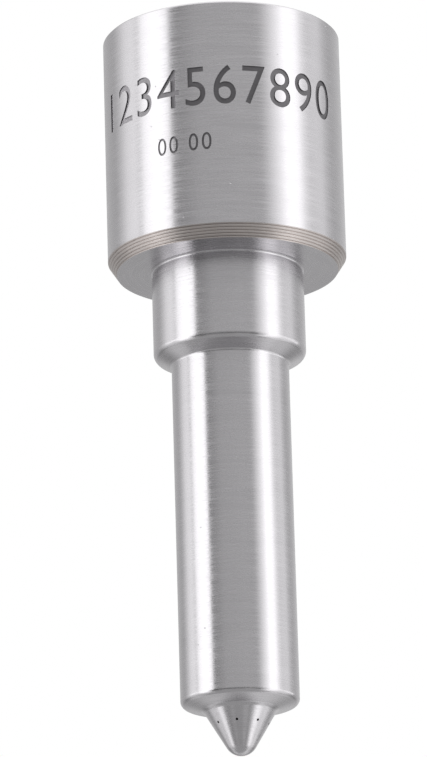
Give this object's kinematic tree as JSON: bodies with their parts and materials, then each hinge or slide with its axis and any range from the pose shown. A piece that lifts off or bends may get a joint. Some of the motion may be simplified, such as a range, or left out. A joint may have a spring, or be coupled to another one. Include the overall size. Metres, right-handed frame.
{
  "type": "fuel injector nozzle",
  "caption": "Hole-type diesel injector nozzle: stepped ground-steel body with a conical spray tip, and the needle valve that lifts off its seat inside.",
  "frame": {"origin": "centre of the lapped sealing face at the top of the collar", "axes": "+Z along the nozzle's axis, away from the spray tip; +Y towards the fuel inlet; +X completes the frame"},
  "size_m": [0.0142, 0.0142, 0.046],
  "materials": {
    "ground_steel": "hardened steel, ground all over, with fine lines round the axis",
    "needle_steel": "hardened tool steel, finely ground and lapped on its guide and seat"
  },
  "bodies": {
    "body": {"nozzle_body": "ground_steel"},
    "needle": {"nozzle_needle": "needle_steel"}
  },
  "joints": [
    {"name": "needle_lift", "type": "slide", "parent": "body", "child": "needle", "axis": [0, 0, 1], "range_m": [0, 0.045]}
  ]
}
